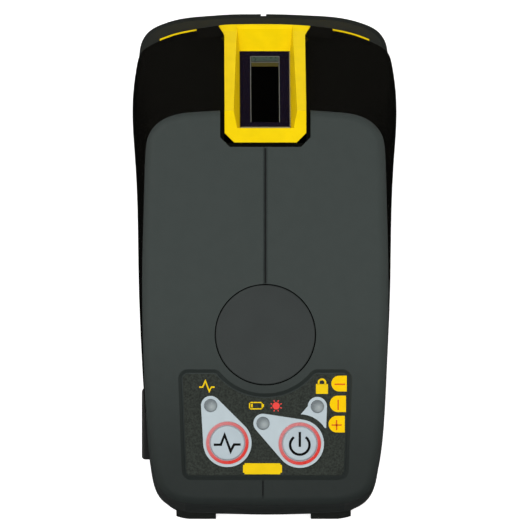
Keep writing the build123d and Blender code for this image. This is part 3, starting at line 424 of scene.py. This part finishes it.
def stroke(points, width):
    """Outline of a line of this width through points, with mitred bends and square ends."""
    left, right = [], []
    for index, point in enumerate(points):
        here = Vector(point)
        ahead = (Vector(points[index + 1]) - here).normalized() if index + 1 < len(points) else None
        behind = (here - Vector(points[index - 1])).normalized() if index else None
        along = ((ahead or behind) + (behind or ahead)).normalized()
        side = Vector((-along.y, along.x))
        straight = ahead or behind
        reach = width / 2 / max(0.4, side.dot(Vector((-straight.y, straight.x))))
        left.append(tuple(here + side * reach))
        right.append(tuple(here - side * reach))
    return left + right[::-1]


def arc(x, y, radius, start, end, steps=24):
    """Points on an arc, from one angle to another in degrees."""
    turns = [math.radians(start + (end - start) * step / steps) for step in range(steps + 1)]
    return [(x + radius * math.cos(turn), y + radius * math.sin(turn)) for turn in turns]


def rectangle(x0, x1, y0, y1):
    return [(x0, y0), (x1, y0), (x1, y1), (x0, y1)]


def d_tab(x0, x1, y0, y1):
    """Tab with a flat right side and a round left side."""
    radius = (y1 - y0) / 2
    return arc(x0 + radius, (y0 + y1) / 2, radius, 90, 270) + [(x1, y0), (x1, y1)]


def make_prints():
    """Symbols on the keypad and on the two keys."""
    yellow = satin("print_yellow", (0.88, 0.60, 0.004), 0.5, specular=0.1)
    tab_yellow = satin("tab_yellow", (0.98, 0.62, 0.002), 0.5, specular=0.05)
    orange = satin("print_orange", (0.72, 0.13, 0.01), 0.5, specular=0.1)
    red = satin("print_red", (0.85, 0.07, 0.06), 0.5, specular=0.1)
    black = satin("print_black", (0.004, 0.004, 0.004), 0.5, specular=0.1)
    line = 0.35
    pulse_icon = [
        (-16.55, -30.15), (-15.7, -30.15), (-15.0, -28.6), (-14.05, -31.2), (-13.5, -30.15), (-12.7, -30.15),
    ]
    slab("pulse_icon", [stroke(pulse_icon, line)], OVERLAY_Z, yellow, "root")
    x0, x1, y0, y1 = -4.1, -0.65, -35.75, -33.85
    loops = [
        rectangle(x0, x1, y1 - 0.3, y1), rectangle(x0, x1, y0, y0 + 0.3), rectangle(x0, x0 + 0.3, y0, y1),
        rectangle(x1 - 0.3, x1, y0, y1), rectangle(x1, x1 + 0.3, y0 + 0.6, y1 - 0.6),
        rectangle(x0 + 0.5, x0 + 0.95, y0 + 0.5, y1 - 0.5),
    ]
    slab("battery_icon", loops, OVERLAY_Z, yellow, "root")
    burst_x, burst_y = 2.7, -34.85
    loops = [arc(burst_x, burst_y, 0.9, 0, 345, 23)]
    for step in range(8):
        turn = math.radians(45 * step + 22.5)
        ray = Vector((math.cos(turn), math.sin(turn)))
        centre = Vector((burst_x, burst_y))
        loops.append(stroke([tuple(centre + ray * 1.1), tuple(centre + ray * 1.5)], 0.27))
    slab("laser_icon", loops, OVERLAY_Z, red, "root")
    lock_x = 14.15
    shackle = [(lock_x - 0.85, -29.5)] + arc(lock_x, -29.05, 0.85, 180, 0) + [(lock_x + 0.85, -29.5)]
    loops = [rectangle(lock_x - 1.5, lock_x + 1.5, -31.85, -29.4), stroke(shackle, 0.46)]
    slab("padlock_icon", loops, OVERLAY_Z, yellow, "root")
    slab("line_tabs", [
        d_tab(16.5, 20.35, -31.25, -27.3),
        d_tab(16.1, 20.15, -36.4, -32.3),
        d_tab(15.8, 19.85, -41.5, -37.35),
    ], OVERLAY_Z, tab_yellow, "root")
    tab_z = OVERLAY_Z + PRINT_THICK
    slab("line_marks", [
        stroke([(17.3, -29.45), (19.95, -29.45)], line), stroke([(18.2, -33.3), (18.2, -35.9)], line),
        stroke([(16.55, -39.65), (19.05, -39.65)], line), stroke([(17.8, -38.4), (17.8, -40.9)], line),
    ], tab_z, orange, "root")
    notch = 0.4
    x0, x1, y0, y1 = -5.6, 4.15, -51.95, -49.2
    badge = [
        (x0 + notch, y0), (x1 - notch, y0), (x1 - notch, y0 + notch), (x1, y0 + notch),
        (x1, y1 - notch), (x1 - notch, y1 - notch), (x1 - notch, y1), (x0 + notch, y1),
        (x0 + notch, y1 - notch), (x0, y1 - notch), (x0, y0 + notch), (x0 + notch, y0 + notch),
    ]
    slab("blank_badge", [badge], OVERLAY_Z, yellow, "root", thick=0.25 * MM)
    x, y = PULSE.x / MM, PULSE.y / MM
    wave = [(-3.4, -0.45), (-1.65, -0.45), (-0.7, 2.0), (0.8, -2.1), (1.65, -0.4), (3.3, -0.4)]
    slab("pulse_symbol", [stroke([(x + dx, y + dy) for dx, dy in wave], 0.6)], CAP_Z, black, "pulse_key")
    x, y = POWER.x / MM, POWER.y / MM - 0.3
    ring = arc(x, y, 2.42, 127, 413, 48)
    loops = [stroke(ring, 0.62), stroke([(x, y + 3.25), (x, y - 0.5)], 0.6)]
    slab("power_symbol", loops, CAP_Z, black, "power_key")


def annulus(x, y, inner, outer):
    """Two half rings of flat print, as closed loops."""
    halves = []
    for start in (0, 180):
        halves.append(arc(x, y, outer, start, start + 180, 40) + arc(x, y, inner, start + 180, start, 40))
    return halves


def make_ring_skirts():
    """Thin lips of film that close the slots beside the two red rings."""
    blush = satin("skirt_blush", (0.42, 0.30, 0.33), 0.5, specular=0.1)
    pale = satin("skirt_silver", (0.50, 0.50, 0.53), 0.5, specular=0.1)
    ring_low, ring_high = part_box("pulse_ring")
    outer = (ring_high.x - ring_low.x) / 2 / MM
    cap = (pulse_high.x - pulse_low.x) / 2 / MM
    for name, centre in (("pulse", PULSE), ("power", POWER)):
        x, y = centre.x / MM, centre.y / MM
        inside = annulus(x, y, cap + 0.03, cap + 0.23)
        outside = annulus(x, y, outer - 0.03, outer + 0.13)
        slab(name + "_inner_skirt", inside, ring_high.z - 0.12 * MM, blush, "root")
        slab(name + "_outer_skirt", outside, ring_high.z - 0.08 * MM, pale, "root")


def glass_plane():
    """Matrix that puts a drawing onto the outer face of the window, its Y running down the slope."""
    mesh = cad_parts["window_glass"].data
    top = max((face for face in mesh.polygons if face.normal.z > 0.2), key=lambda face: face.area)
    corners = [mesh.vertices[index].co for face in mesh.polygons for index in face.vertices
               if (face.normal - top.normal).length < 0.01]
    low = Vector([min(corner[axis] for corner in corners) for axis in range(3)])
    high = Vector([max(corner[axis] for corner in corners) for axis in range(3)])
    across = Vector((1, 0, 0))
    down_slope = top.normal.cross(across)
    plane = Matrix((across, down_slope, top.normal)).transposed().to_4x4()
    plane.translation = (low + high) / 2
    return plane


def make_window_lines():
    """Painted light and shade of the beam opening, laid on the window's outer face as thin pieces: a dark sheet
    of painted shade for the hollow, painted highlights on its edges and on the glass edges, and painted light
    on its tilted end and foot.
    """
    plane = glass_plane()
    middle = plane.translation / MM
    rise = plane.to_3x3().col[1].y

    def v(y):
        return (y - middle.y) / rise

    # Painted highlights for the cut edges and glass edges, and painted light for the tilted end and its foot.
    edge = satin("cut_edge_painted_highlight", (0.16, 0.17, 0.155), 0.3)
    pale = satin("glass_edge_painted_highlight", (0.40, 0.36, 0.20), 0.35)
    cool = satin("tilted_end_painted_light", (0.052, 0.078, 0.062), 0.3)
    olive = satin("end_foot_painted_light", (0.078, 0.066, 0.012), 0.35)
    # Dark sheet of painted shade for the hollow of the opening.
    dark = gloss("opening_painted_shade", (0.0008, 0.0008, 0.0008), 0.1, specular=0.15)
    half = 3.6
    front, rear = v(53.0), v(36.15)
    thin = 0.03 * MM
    flat = {"z": 0.0, "body": "root", "thick": thin, "plane": plane}
    slab("beam_opening_painted_shade", [rectangle(-half, half, rear, front)], material=dark, **flat)
    high = dict(flat, z=thin)
    slab("opening_end_painted_light", [rectangle(-half + 0.2, half - 0.2, v(51.8), front - 0.1)], material=cool, **high)
    slab("opening_foot_painted_light", [rectangle(-half + 0.2, half - 0.2, v(50.4), v(51.4))], material=olive, **high)
    slab("opening_edges_painted_highlight", [
        rectangle(-half - 0.08, -half + 0.1, rear, front), rectangle(half - 0.1, half + 0.08, rear, front),
        rectangle(-half, half, front - 0.08, front + 0.1), rectangle(-half, half, v(51.45), v(51.62)),
    ], material=edge, **high)
    glass_half = 6.3
    slab("glass_edges_painted_highlight", [
        rectangle(-glass_half, glass_half, v(34.68), v(34.92)),
        rectangle(glass_half - 0.14, glass_half, v(34.7), v(54.2)),
    ], material=pale, **flat)


def make_groove_shade():
    """Painted shade: dark strips along the bottom of the two mould lines in the rubber."""
    dark = rubber("groove_painted_shade", (0.008, 0.009, 0.009))
    slab("groove_floor_painted_shade", [rectangle(-0.24, 0.24, -4.2, 29.6)], TOP_Z - 0.6 * MM, dark, "root")
    line_low, line_high = -0.78, -0.46
    slab("rear_line_painted_shade", [rectangle(line_low, line_high, -57.4, -53.6)], TOP_Z - 0.3 * MM, dark, "root")


# ------------------------------------------------------------------ floor and light
def area_light(name, location, target, size, power, colour=(1, 1, 1)):
    data = bpy.data.lights.new(name, "AREA")
    data.shape = "RECTANGLE"
    data.size, data.size_y = size
    data.energy = power
    data.color = colour
    light = bpy.data.objects.new(name, data)
    bpy.context.scene.collection.objects.link(light)
    light.matrix_world = look(Vector(location), Vector(target), Vector((0.01, 1, 0.02)))
    light.visible_camera = False
    return light


def ramp(tree, value, start, end, low, high):
    """Smooth step of a value, from one level to another."""
    node = tree.nodes.new("ShaderNodeMapRange")
    node.interpolation_type = "SMOOTHSTEP"
    for socket, number in (("From Min", start), ("From Max", end), ("To Min", low), ("To Max", high)):
        node.inputs[socket].default_value = number
    tree.links.new(value, node.inputs["Value"])
    return node.outputs["Result"]


def wall_glow(tree):
    """Studio walls for gloss to mirror: pale to the sides and rear, dark above, below and in front."""
    place = tree.nodes.new("ShaderNodeTexCoord")
    split = tree.nodes.new("ShaderNodeSeparateXYZ")
    tree.links.new(place.outputs["Generated"], split.inputs["Vector"])
    above = ramp(tree, split.outputs["Z"], 0.15, 0.55, 1.0, 0.0)
    below = ramp(tree, split.outputs["Z"], -0.75, -0.25, 0.0, 0.45)
    ahead = ramp(tree, split.outputs["Y"], 0.25, 0.75, 1.0, 0.0)
    first = tree.nodes.new("ShaderNodeMath")
    first.operation = "MULTIPLY"
    tree.links.new(above, first.inputs[0])
    tree.links.new(below, first.inputs[1])
    second = tree.nodes.new("ShaderNodeMath")
    second.operation = "MULTIPLY_ADD"
    tree.links.new(first.outputs["Value"], second.inputs[0])
    tree.links.new(ahead, second.inputs[1])
    second.inputs[2].default_value = 0.03
    return second.outputs["Value"]


def make_stage():
    """Pale floor, a soft overhead light and a dim surround."""
    bpy.ops.mesh.primitive_plane_add(size=6.0, location=(0, 0, 0))
    floor = bpy.context.object
    floor.name = "floor"
    maker = Maker("floor_white", (0.93, 0.93, 0.93), 0.9, specular=0.1)
    maker.vary_roughness(maker.noise(30 * MM), 0.03)
    maker.set("Emission Color", (1.0, 1.0, 1.0, 1.0))
    maker.set("Emission Strength", 0.7)
    floor.data.materials.append(maker.material)
    floor.visible_glossy = False
    overhead = area_light("overhead", (-0.05, 0.15, 1.5), (0, 0, 0), (1.6, 1.6), 25)
    overhead.visible_glossy = False
    spark = area_light("spark", (-0.55, 0.75, 1.2), (0, 0, 0.07), (0.22, 0.22), 4)
    spark.visible_diffuse = False
    area_light("left_card", (-1.1, 0.1, 0.75), (0, 0, 0.05), (0.4, 0.8), 2.2, (1.0, 0.96, 0.88))
    area_light("right_card", (1.1, 0.1, 0.75), (0, 0, 0.05), (0.4, 0.8), 2.0, (1.0, 0.96, 0.88))
    world = bpy.data.worlds.new("surround")
    world.use_nodes = True
    tree = world.node_tree
    background = tree.nodes["Background"]
    path = tree.nodes.new("ShaderNodeLightPath")
    level = tree.nodes.new("ShaderNodeMapRange")
    level.inputs["To Min"].default_value = 0.32
    tree.links.new(path.outputs["Is Glossy Ray"], level.inputs["Value"])
    tree.links.new(wall_glow(tree), level.inputs["To Max"])
    tree.links.new(level.outputs["Result"], background.inputs["Strength"])
    bpy.context.scene.world = world
    bpy.context.scene.view_settings.view_transform = "Standard"


make_camera()
paint_nodes()
make_prints()
make_ring_skirts()
make_window_lines()
make_groove_shade()
make_stage()
